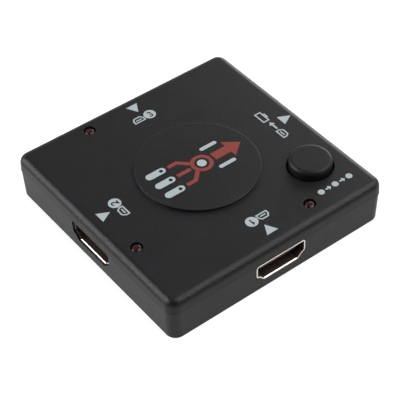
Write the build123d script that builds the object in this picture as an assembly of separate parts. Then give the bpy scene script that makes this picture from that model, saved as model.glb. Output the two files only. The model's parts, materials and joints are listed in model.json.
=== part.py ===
from build123d import *

import os
from math import cos, radians, sin

# Three-way video switch box with a push button, as the separate pieces that it is made of.
#
# Lengths are in millimetres. The origin is the middle of the underside and +Z points up. Input 1
# faces -Y, input 2 faces -X, input 3 faces +Y and the output faces +X. Each socket, with its lamp
# and its row of small parts, is drawn once for the -Y wall and turned about the middle of the case.

# Case shells
CASE_SIDE = 64.0            # the square plan, at its widest where the two shells meet
COVER_HEIGHT = 12.4         # flat top of the cover
COVER_RIM = 4.2             # from the line where the two shells meet up to the flat top
JOINT_GAP = 0.1             # open seam between the shells
CASE_CORNER = 2.7           # upright corner radius
COVER_DRAFT = 0.19          # how far each side leans in from the joint to the top
BASE_DRAFT = 0.19           # how far each side leans in from the joint to the bottom
BASE_INSET = 0.1            # the lower shell stands this far inside the upper one
COVER_EDGE = 2.0            # rounding of the top edge
BASE_EDGE = 0.45            # rounding of the bottom edge
SIDE_WALL = 1.8
COVER_WALL = 1.6
FLOOR_WALL = 1.4
PAD_RADIUS = 15.5           # raised round panel in the middle of the cover
PAD_RISE = 0.7
PAD_EDGE = 0.15
CUT_OVERRUN = 1.0           # how far a cut runs past the face that it opens

# Lip that locates the upper shell on the lower one
LIP_WALL = 0.8
LIP_HEIGHT = 1.0
LIP_GAP = 0.1

# Screws and their posts, one in each corner
POST_INSET = 5.6            # from two sides of the case to a post
POST_RADIUS = 2.6
SCREW_RADIUS = 1.1
SCREW_SPARE = 1.6           # from a screw's tip up to the cover
SCREW_TIP = 1.1             # length of the pointed end
SCREW_HEAD_RADIUS = 1.9
SCREW_HEAD_HEIGHT = 1.0
SCREW_HEAD_EDGE = 0.3
SCREW_SINK = 0.2            # from the underside up to the head
SCREW_PASS_GAP = 0.2        # around the shank where it passes through
SCREW_HEAD_GAP = 0.25       # around the head in its recess
SCREW_BITE = 0.15           # how far the thread cuts into the post
CROSS_SLOT_WIDTH = 0.5
CROSS_SLOT_SPAN = 2.2
CROSS_SLOT_DEPTH = 0.6
PILOT_SPARE = 0.6           # depth of the pilot hole beyond the screw's tip

# Circuit board
BOARD_THICK = 1.2
BOARD_LIFT = 0.55           # from the floor to the board
BOARD_GAP = 0.4             # from the board's edge to the case wall
BOARD_CORNER = 1.0
TAIL_LENGTH = 0.35          # what a soldered leg shows under the board
LEG_GAP = 0.12              # around a leg in its hole
REST_RADIUS = 1.5           # posts under the middle of the board and under the switch

# Sockets
MOUTH_WIDTH = 14.0
MOUTH_HEIGHT = 4.55
MOUTH_FLOOR_WIDTH = 10.1
MOUTH_SHOULDER_WIDTH = 12.3
MOUTH_SHOULDER_RISE = 1.2   # from the mouth's floor to the corner of its flank
MOUTH_FLANK_RISE = 1.6      # from the mouth's floor to the foot of its upright side
MOUTH_CORNER = 0.45
SOCKET_SHEET = 0.35
SOCKET_DEPTH = 11.5
SOCKET_SHIFT = 0.28         # to the left of the wall's middle, seen from outside
SETBACKS = {"input_1": 0.1, "input_2": 0.65, "input_3": 0.35, "output": 0.35}
TURNS = {"input_1": 0, "input_2": -90, "input_3": 180, "output": 90}
OPENING_GAP = 0.2           # from a socket to the edge of its opening in the case
FLARE = 0.12                # how far the mouth's lower lip opens downward
FLARE_DEPTH = 0.2
SEAM_WIDTH = 0.08
SEAM_SHIFT = 0.18
SPRING_WIDTH = 2.0
SPRING_LENGTH = 4.4
SPRING_SLOT = 0.3
SPRING_PITCH = 5.2          # between the two springs of one wall
SPRING_START = 2.2          # from the mouth to the springs
SHELL_LEG_WIDTH = 1.3
SHELL_LEG_PLACES = (3.4, 9.2)
BODY_DEPTH = 4.0            # moulded block at the back of a socket
BODY_GAP = 0.05
TONGUE_WIDTH = 10.9
TONGUE_THICK = 1.1
TONGUE_LIFT = 0.15          # above the middle of the mouth
TONGUE_SETBACK = 1.3        # from the mouth to the tongue
TONGUE_EDGE = 0.25
CONTACT_PITCH = 1.0
CONTACT_WIDTH = 0.35
CONTACT_SHEET = 0.15
CONTACT_NOSE = 0.5          # from the tongue's edge to a contact
CONTACT_REACH = 0.5         # from the block's back to a contact's upright part
CONTACT_FOOT = 0.8
UPPER_CONTACT_COUNT = 10
LOWER_CONTACT_COUNT = 9

# Push button
BUTTON_INSET_X = 10.5       # from the output wall to the button's axis
BUTTON_INSET_Y = 15.25      # from the wall of input 1 to the button's axis
BUTTON_RADIUS = 5.4
BUTTON_RISE = 2.4           # above the cover
BUTTON_EDGE = 1.0           # rounding of its top edge
BUTTON_WALL = 1.0
BUTTON_GAP = 0.5            # around the button in the cover's hole
FLANGE_WIDTH = 1.4
FLANGE_THICK = 0.8
FLANGE_GAP = 0.3            # under the cover and around the flange in its collar
COLLAR_WALL = 0.9
COLLAR_HEIGHT = 1.6
STUD_RADIUS = 1.6
BUTTON_PLAY = 0.05          # from the button's stud to the switch

# Tactile switch under the button
SWITCH_SIDE = 6.0
SWITCH_BODY_HEIGHT = 3.0
SWITCH_HEIGHT = 5.0
SWITCH_LID = 0.3
SWITCH_LID_HOLE_GAP = 0.15
SWITCH_TAB_WIDTH = 2.0
SWITCH_TAB_SHEET = 0.2
SWITCH_TAB_DROP = 1.8
SWITCH_POCKET_RADIUS = 2.4
SWITCH_POCKET_FLOOR = 1.0
STEM_RADIUS = 1.75
STEM_FLANGE_RADIUS = 2.2
STEM_FLANGE_THICK = 0.5
STEM_GAP = 0.05
STEM_NOSE_GAP = 0.15        # from the stem's nose to the dome
STEM_NOSE_RADIUS = 0.9
DOME_RADIUS = 2.1
DOME_RISE = 0.6
DOME_SHEET = 0.1
TERMINAL_SHEET = 0.3
TERMINAL_WIDTH = 0.7
TERMINAL_SPACING = 4.5
TERMINAL_LIFT = 0.4
TERMINAL_INSIDE = 1.0       # how far a terminal runs into the switch
TERMINAL_GAP = 0.25         # between the switch and a terminal's upright part

# Lamps, one beside each input
LAMP_SIDE = 12.8            # to the right of the wall's middle, seen from outside
LAMP_INSET = 4.9            # from the wall
LAMP_SHIFT = 0.5            # of the whole set of lamps, towards +Y
LAMP_RADIUS = 1.45
LAMP_HEIGHT = 5.3
LAMP_EDGE = 0.9             # rounding of its top edge
LAMP_FLANGE_RADIUS = 1.9
LAMP_FLANGE_THICK = 1.0
LAMP_SINK = 0.12            # from the cover's top down to the lamp's
LAMP_GAP = 0.15
LAMP_LEAD = 0.5
LAMP_LEAD_PITCH = 2.54
LAMP_LEAD_INSIDE = 2.2
LAMP_CUP_WIDTH = 1.0
LAMP_CUP_HEIGHT = 0.6

# Chips: side along X, side along Y, height
SELECTOR_BODY = (12.0, 12.0, 1.4)
MEMORY_BODY = (3.9, 4.9, 1.45)
REGULATOR_BODY = (6.5, 3.5, 1.6)
CHIP_STANDOFF = 0.1
CHIP_EDGE = 0.25
PIN_MARK_RADIUS = 0.4
PIN_MARK_DEPTH = 0.1
PIN_MARK_INSET = 1.0
FINE_PIN = (0.5, 0.22, 0.13, 1.0)       # pitch, width, sheet, reach
MEMORY_PIN = (1.27, 0.42, 0.2, 1.05)
REGULATOR_PIN = (2.3, 0.7, 0.25, 1.75)
REGULATOR_TAB_WIDTH = 3.0
FINE_PIN_COUNT = 20         # on each of the selector chip's four sides
MEMORY_PIN_COUNT = 4        # on each of a memory chip's two sides
REGULATOR_PIN_COUNT = 3
CHIP_GAP = 1.0              # between a chip's pins and what stands beside it
SHOULDER_SHARE = 0.35       # of a pin's reach, before it turns down
FOOT_SHARE = 0.4            # of a pin's reach, on the board

# Electrolytic capacitor
CAN_RADIUS = 2.5
CAN_HEIGHT = 5.4
CAN_BASE_SIDE = 5.4
CAN_BASE_HEIGHT = 0.8
CAN_BASE_CORNER = 1.2
CAN_EDGE = 0.3
CAN_GROOVE = 0.25
CAN_GROOVE_LIFT = 0.9       # from the base up to the groove

# Resistors and ceramic capacitors
SMALL_LENGTH = 1.6
SMALL_WIDTH = 0.8
RESISTOR_HEIGHT = 0.45
CERAMIC_HEIGHT = 0.8
END_CAP = 0.3
RESISTOR_COUNT = 8          # in each row
RESISTOR_PITCH = 1.3
RESISTOR_ROW_GAP = 0.7      # from a socket's feet to its row of resistors
CERAMIC_COUNT = 3           # along each side of the selector chip
CERAMIC_PITCH = 3.2
CERAMIC_ROW_GAP = 0.4       # from the selector chip's feet to the ceramic capacitors

# Worked out from the sizes above
HALF_CASE = CASE_SIDE / 2
JOINT_HEIGHT = COVER_HEIGHT - COVER_RIM
POST_REACH = HALF_CASE - POST_INSET
LAMP_REACH = HALF_CASE - LAMP_INSET
INNER_SIDE = CASE_SIDE - 2 * SIDE_WALL
INNER_CORNER = CASE_CORNER - SIDE_WALL
INNER_TOP = COVER_HEIGHT - COVER_WALL
BOARD_BOTTOM = FLOOR_WALL + BOARD_LIFT
BOARD_TOP = BOARD_BOTTOM + BOARD_THICK
BOARD_SIDE = INNER_SIDE - 2 * BOARD_GAP
LEG_BOTTOM = -BOARD_THICK - TAIL_LENGTH
SCREW_SEAT = SCREW_SINK + SCREW_HEAD_HEIGHT
SCREW_END = INNER_TOP - SCREW_SPARE
STEM_TOP = BOARD_TOP + SWITCH_HEIGHT
FLANGE_RADIUS = BUTTON_RADIUS + FLANGE_WIDTH
SOCKET_FEET = SOCKET_DEPTH + CONTACT_REACH + CONTACT_SHEET + CONTACT_FOOT
MEMORY_X = SELECTOR_BODY[0] / 2 + FINE_PIN[3] + CHIP_GAP + MEMORY_PIN[3] + MEMORY_BODY[0] / 2
MEMORY_Y = SELECTOR_BODY[1] / 2 + FINE_PIN[3] + CHIP_GAP + MEMORY_BODY[1] / 2
REGULATOR_X = POST_REACH - POST_RADIUS - CHIP_GAP - REGULATOR_BODY[0] / 2
REGULATOR_Y = POST_REACH - POST_RADIUS
CAN_X = POST_REACH - POST_RADIUS - CHIP_GAP - CAN_BASE_SIDE / 2
CAN_Y = REGULATOR_Y - REGULATOR_BODY[1] / 2 - REGULATOR_PIN[3] - CHIP_GAP - CAN_BASE_SIDE / 2


def block(x, y, z):
    """Box between two corners, each size given as a (low, high) pair."""
    centre = ((x[0] + x[1]) / 2, (y[0] + y[1]) / 2, (z[0] + z[1]) / 2)
    return Pos(*centre) * Box(x[1] - x[0], y[1] - y[0], z[1] - z[0])


def middle(width):
    """The (low, high) pair of a width laid across zero."""
    return (-width / 2, width / 2)


def rod(radius, low, high):
    """Upright cylinder from one height to another."""
    return Pos(0, 0, (low + high) / 2) * Cylinder(radius, high - low)


def slab(side, corner, low, high):
    """Upright block with a rounded square plan."""
    return extrude(Plane.XY.offset(low) * RectangleRounded(side, side, corner), amount=high - low)


def leaning_slab(low, high):
    """Block with a rounded square plan whose sides lean; each end is (height, side, corner radius)."""
    ends = [Plane.XY.offset(z) * RectangleRounded(side, side, corner) for z, side, corner in (low, high)]
    return loft(ends, ruled=True)


def side_solid(points, width):
    """Outline drawn in (Y, Z), made solid across X."""
    outline = make_face(Polyline(*[(0, y, z) for y, z in points], close=True))
    return extrude(outline, amount=width / 2, both=True)


def turned(name, shape):
    """A shape drawn for the -Y wall, turned to the wall of the named socket."""
    return Rot(0, 0, TURNS[name]) * shape


def corner_places():
    """Places of the four posts."""
    return [Pos(x, y) for x in (-POST_REACH, POST_REACH) for y in (-POST_REACH, POST_REACH)]


def lamp_place(name):
    """Place of the lamp beside the named input."""
    turn = radians(TURNS[name])
    x = LAMP_SIDE * cos(turn) + LAMP_REACH * sin(turn)
    y = LAMP_SIDE * sin(turn) - LAMP_REACH * cos(turn)
    return Pos(x, y + LAMP_SHIFT)


def row_places(count, pitch, y):
    """Places in a row along X, at the given Y."""
    return [Pos((k - (count - 1) / 2) * pitch, y) for k in range(count)]


def on_board(x, y):
    """Place on top of the board."""
    return Pos(x, y, BOARD_TOP)


INPUTS = ("input_1", "input_2", "input_3")
BUTTON_PLACE = Pos(HALF_CASE - BUTTON_INSET_X, BUTTON_INSET_Y - HALF_CASE)
MEMORY_CORNERS = ((-1, -1), (-1, 1), (1, 1))


def mouth_outline(growth):
    """Outline of a socket's mouth in (X, Z), opened outward all round; its floor is at one sheet."""
    floor = SOCKET_SHEET
    right = [
        (MOUTH_FLOOR_WIDTH / 2, floor),
        (MOUTH_SHOULDER_WIDTH / 2, floor + MOUTH_SHOULDER_RISE),
        (MOUTH_WIDTH / 2, floor + MOUTH_FLANK_RISE),
        (MOUTH_WIDTH / 2, floor + MOUTH_HEIGHT),
    ]
    outline = make_face(Polyline(*right, *[(-x, z) for x, z in reversed(right)], close=True))
    if growth:
        outline = offset(outline, amount=growth, kind=Kind.INTERSECTION)
    return Rot(90, 0, 0) * fillet(outline.vertices(), MOUTH_CORNER + growth)


def mouth_prism(growth, near, far):
    """Solid of the mouth's outline between two depths behind the mouth."""
    outline = Pos(0, near, 0) * mouth_outline(growth)
    return extrude(outline, amount=far - near, dir=(0, 1, 0))


def at_wall(name, shape):
    """A socket piece, drawn with its mouth at Y = 0 on the board, moved into its wall."""
    front = SETBACKS[name] - HALF_CASE
    return turned(name, Pos(-SOCKET_SHIFT, front, BOARD_TOP) * shape)


def in_wall(name, shape):
    """A cut drawn with the outer face of the wall at Y = 0, moved into the named socket's wall."""
    return turned(name, Pos(-SOCKET_SHIFT, -HALF_CASE) * shape)


def wall_opening(name):
    """Cut through the case wall around a socket."""
    cut = mouth_prism(SOCKET_SHEET + OPENING_GAP, -CUT_OVERRUN, SIDE_WALL + CUT_OVERRUN)
    return in_wall(name, Pos(0, 0, BOARD_TOP) * cut)


def upper_shell():
    """Cover with its round panel, button hole, collar, lamp holes, screw posts and lip seat."""
    joint = JOINT_HEIGHT + JOINT_GAP
    top = (COVER_HEIGHT, CASE_SIDE - 2 * COVER_DRAFT, CASE_CORNER)
    shell = leaning_slab((joint, CASE_SIDE, CASE_CORNER), top)
    shell = fillet(shell.edges().group_by(Axis.Z)[-1], COVER_EDGE)
    panel = rod(PAD_RADIUS, INNER_TOP, COVER_HEIGHT + PAD_RISE)
    shell += fillet(panel.edges().group_by(Axis.Z)[-1], PAD_EDGE)
    shell -= slab(INNER_SIDE, INNER_CORNER, joint - CUT_OVERRUN, INNER_TOP)
    seat = LIP_WALL + LIP_GAP
    seat_top = JOINT_HEIGHT + LIP_HEIGHT + LIP_GAP
    shell -= slab(INNER_SIDE + 2 * seat, INNER_CORNER + seat, joint - CUT_OVERRUN, seat_top)
    for name in TURNS:
        shell -= wall_opening(name)
    return with_button_hole(with_posts(shell))


def with_posts(shell):
    """The cover with its four screw posts, which stand on the board."""
    post = rod(POST_RADIUS, BOARD_TOP, INNER_TOP)
    post -= rod(SCREW_RADIUS - SCREW_BITE, BOARD_TOP, SCREW_END + PILOT_SPARE)
    for place in corner_places():
        shell += place * post
    return shell


def with_button_hole(shell):
    """The cover with its button hole and the collar under it, and with its lamp holes."""
    collar_inner = FLANGE_RADIUS + FLANGE_GAP
    collar = rod(collar_inner + COLLAR_WALL, INNER_TOP - COLLAR_HEIGHT, INNER_TOP)
    collar -= rod(collar_inner, INNER_TOP - COLLAR_HEIGHT, INNER_TOP)
    through = (INNER_TOP - CUT_OVERRUN, COVER_HEIGHT + CUT_OVERRUN)
    shell += BUTTON_PLACE * collar
    shell -= BUTTON_PLACE * rod(BUTTON_RADIUS + BUTTON_GAP, *through)
    for name in INPUTS:
        shell -= lamp_place(name) * rod(LAMP_RADIUS + LAMP_GAP, *through)
    return shell


def lower_shell():
    """Tray with its walls, locating lip, board pads and recessed screw holes."""
    side = CASE_SIDE - 2 * BASE_INSET
    shell = leaning_slab((0, side - 2 * BASE_DRAFT, CASE_CORNER), (JOINT_HEIGHT, side, CASE_CORNER))
    shell = fillet(shell.edges().group_by(Axis.Z)[0], BASE_EDGE)
    lip_top = JOINT_HEIGHT + LIP_HEIGHT
    shell += slab(INNER_SIDE + 2 * LIP_WALL, INNER_CORNER + LIP_WALL, JOINT_HEIGHT - LIP_HEIGHT, lip_top)
    shell -= slab(INNER_SIDE, INNER_CORNER, FLOOR_WALL, lip_top + CUT_OVERRUN)
    half = MOUTH_WIDTH / 2 + SOCKET_SHEET + OPENING_GAP
    notch = block((-half, half), (0, SIDE_WALL + CUT_OVERRUN), (JOINT_HEIGHT, lip_top + CUT_OVERRUN))
    for name in TURNS:
        shell -= wall_opening(name)
        shell -= in_wall(name, notch)
    return with_pads(shell)


def with_pads(shell):
    """The tray with the pads that carry the board, and the screw holes through four of them."""
    recess = rod(SCREW_HEAD_RADIUS + SCREW_HEAD_GAP, 0, SCREW_SEAT)
    hole = rod(SCREW_RADIUS + SCREW_PASS_GAP, 0, BOARD_BOTTOM)
    for place in corner_places():
        shell += place * rod(POST_RADIUS, 0, BOARD_BOTTOM)
        shell -= place * (recess + hole)
    for place in (Pos(0, 0), BUTTON_PLACE):
        shell += place * rod(REST_RADIUS, FLOOR_WALL / 2, BOARD_BOTTOM)
    return shell


def case_screws():
    """Four self-cutting screws, heads down."""
    head = rod(SCREW_HEAD_RADIUS, SCREW_SINK, SCREW_SEAT)
    head = fillet(head.edges().group_by(Axis.Z)[0], SCREW_HEAD_EDGE)
    slot_top = SCREW_SINK + CROSS_SLOT_DEPTH
    for spans in ((CROSS_SLOT_SPAN, CROSS_SLOT_WIDTH), (CROSS_SLOT_WIDTH, CROSS_SLOT_SPAN)):
        head -= block(middle(spans[0]), middle(spans[1]), (0, slot_top))
    shank = rod(SCREW_RADIUS, SCREW_SEAT, SCREW_END)
    shank = chamfer(shank.edges().group_by(Axis.Z)[-1], SCREW_TIP, SCREW_RADIUS / 2)
    screw = head + shank
    return [place * screw for place in corner_places()]


def leg_hole(width, depth):
    """Hole through the board for a leg of the given size."""
    through = (-BOARD_THICK - CUT_OVERRUN, CUT_OVERRUN)
    return block(middle(width + 2 * LEG_GAP), middle(depth + 2 * LEG_GAP), through)


def circuit_board():
    """Board with holes for the screws and for every leg that is soldered through it."""
    outline = RectangleRounded(BOARD_SIDE, BOARD_SIDE, BOARD_CORNER)
    board = extrude(Plane.XY.offset(BOARD_BOTTOM) * outline, amount=BOARD_THICK)
    through = (BOARD_BOTTOM - CUT_OVERRUN, BOARD_TOP + CUT_OVERRUN)
    for place in corner_places():
        board -= place * rod(SCREW_RADIUS + SCREW_PASS_GAP, *through)
    shell_hole = leg_hole(SOCKET_SHEET, SHELL_LEG_WIDTH)
    for name in TURNS:
        board -= [at_wall(name, place * shell_hole) for place in shell_leg_places()]
    terminal_hole = leg_hole(TERMINAL_SHEET, TERMINAL_WIDTH)
    board -= [switch_place() * place * terminal_hole for place in terminal_places()]
    lead_hole = leg_hole(LAMP_LEAD, LAMP_LEAD)
    for name in INPUTS:
        board -= [lamp_place(name) * Pos(x, 0, BOARD_TOP) * lead_hole for x in middle(LAMP_LEAD_PITCH)]
    return board


def shell_leg_places():
    """Places of a socket shell's four legs, two on each side."""
    x = (MOUTH_WIDTH + SOCKET_SHEET) / 2
    return [Pos(side * x, y) for side in (-1, 1) for y in SHELL_LEG_PLACES]


def spring_slots(height):
    """Cuts that free two springs in a socket wall at the given height."""
    walls = (height - SOCKET_SHEET, height + SOCKET_SHEET)
    depths = (SPRING_START, SPRING_START + SPRING_LENGTH)
    window = block(middle(SPRING_WIDTH + 2 * SPRING_SLOT), depths, walls)
    window -= block(middle(SPRING_WIDTH), (depths[0] + SPRING_SLOT, depths[1]), walls)
    return [Pos(x, 0, 0) * window for x in middle(SPRING_PITCH)]


def socket_shell():
    """Bent sheet sleeve with a flared lower lip, a seam, springs and four legs."""
    through = (-CUT_OVERRUN, SOCKET_DEPTH + CUT_OVERRUN)
    shell = mouth_prism(SOCKET_SHEET, 0, SOCKET_DEPTH) - mouth_prism(0, *through)
    lip = [(0, SOCKET_SHEET - FLARE), (FLARE_DEPTH, SOCKET_SHEET), (0, 2 * SOCKET_SHEET)]
    shell -= side_solid(lip, MOUTH_FLOOR_WIDTH)
    shell -= Pos(SEAM_SHIFT) * block(middle(SEAM_WIDTH), through, (-SOCKET_SHEET, 2 * SOCKET_SHEET))
    for height in (SOCKET_SHEET / 2, MOUTH_HEIGHT + SOCKET_SHEET + SOCKET_SHEET / 2):
        shell -= spring_slots(height)
    leg_top = SOCKET_SHEET + (MOUTH_FLANK_RISE + MOUTH_HEIGHT) / 2
    leg = block(middle(SOCKET_SHEET), middle(SHELL_LEG_WIDTH), (LEG_BOTTOM, leg_top))
    for place in shell_leg_places():
        shell += place * leg
    return shell


def tongue_middle():
    """Height of the tongue's middle above the board."""
    return SOCKET_SHEET + MOUTH_HEIGHT / 2 + TONGUE_LIFT


def contact(height, side):
    """One contact on the tongue; side is 1 on its top and -1 underneath."""
    near = TONGUE_SETBACK + CONTACT_NOSE
    turn = SOCKET_DEPTH + CONTACT_REACH
    outer = height + side * CONTACT_SHEET
    low, high = min(height, outer), max(height, outer)
    back = turn + CONTACT_SHEET
    points = [(near, low), (near, high), (back, high), (back, CONTACT_SHEET)]
    points += [(SOCKET_FEET, CONTACT_SHEET), (SOCKET_FEET, 0), (turn, 0), (turn, low)]
    return side_solid(points, CONTACT_WIDTH)


def socket_contacts():
    """Both rows of contacts; the lower row stands half a pitch aside from the upper one."""
    rows = ((UPPER_CONTACT_COUNT, 1), (LOWER_CONTACT_COUNT, -1))
    strips = []
    for count, side in rows:
        strip = contact(tongue_middle() + side * TONGUE_THICK / 2, side)
        strips += [place * strip for place in row_places(count, CONTACT_PITCH, 0)]
    return strips


def socket_body(contacts):
    """Moulded block and tongue, grooved for the contacts."""
    body = mouth_prism(-BODY_GAP, SOCKET_DEPTH - BODY_DEPTH, SOCKET_DEPTH)
    z = tongue_middle()
    heights = (z - TONGUE_THICK / 2, z + TONGUE_THICK / 2)
    tongue = block(middle(TONGUE_WIDTH), (TONGUE_SETBACK, SOCKET_DEPTH - BODY_DEPTH / 2), heights)
    front = tongue.edges().filter_by(Axis.X).group_by(Axis.Y)[0]
    body += chamfer(front, TONGUE_EDGE)
    return body - contacts


def push_button():
    """Hollow cap with a flange that keeps it under the cover and a stud that meets the switch."""
    top = COVER_HEIGHT + BUTTON_RISE
    flange_top = INNER_TOP - FLANGE_GAP
    foot = flange_top - FLANGE_THICK
    cap = rod(BUTTON_RADIUS, foot, top)
    cap = fillet(cap.edges().group_by(Axis.Z)[-1], BUTTON_EDGE)
    cap += rod(FLANGE_RADIUS, foot, flange_top)
    cap -= rod(BUTTON_RADIUS - BUTTON_WALL, foot, top - BUTTON_WALL)
    cap += rod(STUD_RADIUS, STEM_TOP + BUTTON_PLAY, top - BUTTON_WALL / 2)
    return BUTTON_PLACE * cap


def switch_place():
    """Place of the tactile switch on the board."""
    return BUTTON_PLACE * Pos(0, 0, BOARD_TOP)


def terminal_places():
    """Places of the switch's four upright terminals."""
    x = (SWITCH_SIDE + TERMINAL_SHEET) / 2 + TERMINAL_GAP
    return [Pos(side * x, y) for side in (-1, 1) for y in middle(TERMINAL_SPACING)]


def switch_terminals():
    """Four bent terminals, drawn on the board."""
    half = SWITCH_SIDE / 2
    outer = half + TERMINAL_GAP + TERMINAL_SHEET
    level = (TERMINAL_LIFT, TERMINAL_LIFT + TERMINAL_SHEET)
    width = middle(TERMINAL_WIDTH)
    bent = block((half - TERMINAL_INSIDE, outer), width, level)
    bent += block((outer - TERMINAL_SHEET, outer), width, (LEG_BOTTOM, level[1]))
    right = [Pos(0, y) * bent for y in middle(TERMINAL_SPACING)]
    return right + [Rot(0, 0, 180) * piece for piece in right]


def switch_body(terminals):
    """Square moulded housing with a round pocket for the dome and the stem."""
    body = block(middle(SWITCH_SIDE), middle(SWITCH_SIDE), (0, SWITCH_BODY_HEIGHT))
    body -= rod(SWITCH_POCKET_RADIUS, SWITCH_POCKET_FLOOR, SWITCH_BODY_HEIGHT)
    for side in (-1, 1):
        y = side * (SWITCH_SIDE - SWITCH_TAB_SHEET) / 2
        recess = block(middle(SWITCH_TAB_WIDTH), middle(SWITCH_TAB_SHEET), switch_tab_heights())
        body -= Pos(0, y) * recess
    return body - terminals


def switch_tab_heights():
    """Lowest and highest point of the lid's side tabs."""
    return (SWITCH_BODY_HEIGHT - SWITCH_TAB_DROP, SWITCH_BODY_HEIGHT)


def switch_lid():
    """Sheet lid with a hole for the stem and two tabs down the housing's sides."""
    top = SWITCH_BODY_HEIGHT + SWITCH_LID
    lid = block(middle(SWITCH_SIDE), middle(SWITCH_SIDE), (SWITCH_BODY_HEIGHT, top))
    lid -= rod(STEM_RADIUS + SWITCH_LID_HOLE_GAP, SWITCH_BODY_HEIGHT, top)
    for side in (-1, 1):
        y = side * (SWITCH_SIDE - SWITCH_TAB_SHEET) / 2
        lid += Pos(0, y) * block(middle(SWITCH_TAB_WIDTH), middle(SWITCH_TAB_SHEET), switch_tab_heights())
    return lid


def switch_stem():
    """Round stem with a flange held under the lid and a nose above the dome."""
    flange_top = SWITCH_BODY_HEIGHT - STEM_GAP
    flange_foot = flange_top - STEM_FLANGE_THICK
    stem = rod(STEM_RADIUS, flange_foot, SWITCH_HEIGHT)
    stem += rod(STEM_FLANGE_RADIUS, flange_foot, flange_top)
    nose_foot = SWITCH_POCKET_FLOOR + DOME_RISE + STEM_NOSE_GAP
    return stem + rod(STEM_NOSE_RADIUS, nose_foot, flange_foot)


def switch_dome():
    """Thin domed spring disc that snaps through when pressed."""
    ball = (DOME_RADIUS ** 2 + DOME_RISE ** 2) / (2 * DOME_RISE)
    centre = SWITCH_POCKET_FLOOR + DOME_RISE - ball
    cap = Pos(0, 0, centre) * (Sphere(ball) - Sphere(ball - DOME_SHEET))
    return cap & rod(DOME_RADIUS, SWITCH_POCKET_FLOOR, SWITCH_BODY_HEIGHT)


def lamp_leads():
    """Two lamp leads, with the cup on one of them, in the lamp's own place."""
    lamp_foot = COVER_HEIGHT - LAMP_SINK - LAMP_HEIGHT
    top = lamp_foot + LAMP_LEAD_INSIDE
    width = middle(LAMP_LEAD)
    straight = block(width, width, (BOARD_TOP + LEG_BOTTOM, top))
    left, right = middle(LAMP_LEAD_PITCH)
    cup_right = right - (LAMP_LEAD + LAMP_CUP_WIDTH) / 2
    cup = block((left, cup_right), width, (top, top + LAMP_CUP_HEIGHT))
    return [Pos(left) * straight + cup, Pos(right) * straight]


def lamp_lens(leads):
    """Lens with a rounded top and a flange at its foot, moulded around the leads."""
    top = COVER_HEIGHT - LAMP_SINK
    foot = top - LAMP_HEIGHT
    lens = rod(LAMP_RADIUS, foot, top)
    lens = fillet(lens.edges().group_by(Axis.Z)[-1], LAMP_EDGE)
    lens += rod(LAMP_FLANGE_RADIUS, foot, foot + LAMP_FLANGE_THICK)
    return lens - leads


def pin(sizes, height, width=0):
    """One bent pin that starts at Y = 0 at the given height and runs out along +Y to the board."""
    _, pin_width, sheet, reach = sizes
    shoulder = SHOULDER_SHARE * reach
    foot = reach - FOOT_SHARE * reach
    top = height + sheet
    points = [(0, height), (shoulder, height), (foot, 0), (reach, 0)]
    points += [(reach, sheet), (foot + sheet / 2, sheet), (shoulder + sheet / 2, top), (0, top)]
    return side_solid(points, width or pin_width)


def pin_row(sizes, height, count, edge):
    """Pins in a row along X, from a body whose side is at the given Y."""
    one = pin(sizes, height)
    return [place * one for place in row_places(count, sizes[0], edge)]


def chip_body(size):
    """Moulded chip body with a chamfered top and a mark at its first pin."""
    length, width, height = size
    body = block(middle(length), middle(width), (CHIP_STANDOFF, CHIP_STANDOFF + height))
    body = chamfer(body.edges().group_by(Axis.Z)[-1], CHIP_EDGE)
    mark = rod(PIN_MARK_RADIUS, CHIP_STANDOFF + height - PIN_MARK_DEPTH, CHIP_STANDOFF + height)
    return body - Pos(PIN_MARK_INSET - length / 2, PIN_MARK_INSET - width / 2) * mark


def selector_pins():
    """Pins on all four sides of the selector chip."""
    height = CHIP_STANDOFF + SELECTOR_BODY[2] / 2
    row = pin_row(FINE_PIN, height, FINE_PIN_COUNT, SELECTOR_BODY[1] / 2)
    return [Rot(0, 0, turn) * piece for turn in TURNS.values() for piece in row]


def memory_pins():
    """Pins on the two long sides of a memory chip, which runs along Y."""
    height = CHIP_STANDOFF + MEMORY_BODY[2] / 2
    row = pin_row(MEMORY_PIN, height, MEMORY_PIN_COUNT, MEMORY_BODY[0] / 2)
    return [Rot(0, 0, turn) * piece for turn in (-90, 90) for piece in row]


def regulator_pins():
    """Three pins on one side of the regulator and its wide tab on the other."""
    height = CHIP_STANDOFF + REGULATOR_BODY[2] / 2
    edge = REGULATOR_BODY[1] / 2
    tab = Rot(0, 0, 180) * Pos(0, edge) * pin(REGULATOR_PIN, height, REGULATOR_TAB_WIDTH)
    return pin_row(REGULATOR_PIN, height, REGULATOR_PIN_COUNT, edge) + [tab]


def capacitor_base():
    """Moulded foot of the electrolytic capacitor, two of its corners cut."""
    base = block(middle(CAN_BASE_SIDE), middle(CAN_BASE_SIDE), (0, CAN_BASE_HEIGHT))
    cut = base.edges().filter_by(Axis.Z).group_by(Axis.X)[-1]
    return chamfer(cut, CAN_BASE_CORNER)


def capacitor_can():
    """Aluminium can, grooved near its foot."""
    can = rod(CAN_RADIUS, CAN_BASE_HEIGHT, CAN_HEIGHT)
    can = fillet(can.edges().group_by(Axis.Z)[-1], CAN_EDGE)
    return can - Pos(0, 0, CAN_BASE_HEIGHT + CAN_GROOVE_LIFT) * Torus(CAN_RADIUS, CAN_GROOVE)


def small_part(height):
    """Body and two end caps of a resistor or ceramic capacitor that runs along Y."""
    inner = SMALL_LENGTH / 2 - END_CAP
    outer = SMALL_LENGTH / 2
    spans = ((-inner, inner), (-outer, -inner), (inner, outer))
    body, *ends = [block(middle(SMALL_WIDTH), span, (0, height)) for span in spans]
    return body, ends


def resistor_places():
    """A row of resistors behind each input socket."""
    y = SOCKET_FEET + RESISTOR_ROW_GAP + SMALL_LENGTH / 2
    row = row_places(RESISTOR_COUNT, RESISTOR_PITCH, y)
    return [at_wall(name, place) for name in INPUTS for place in row]


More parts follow.
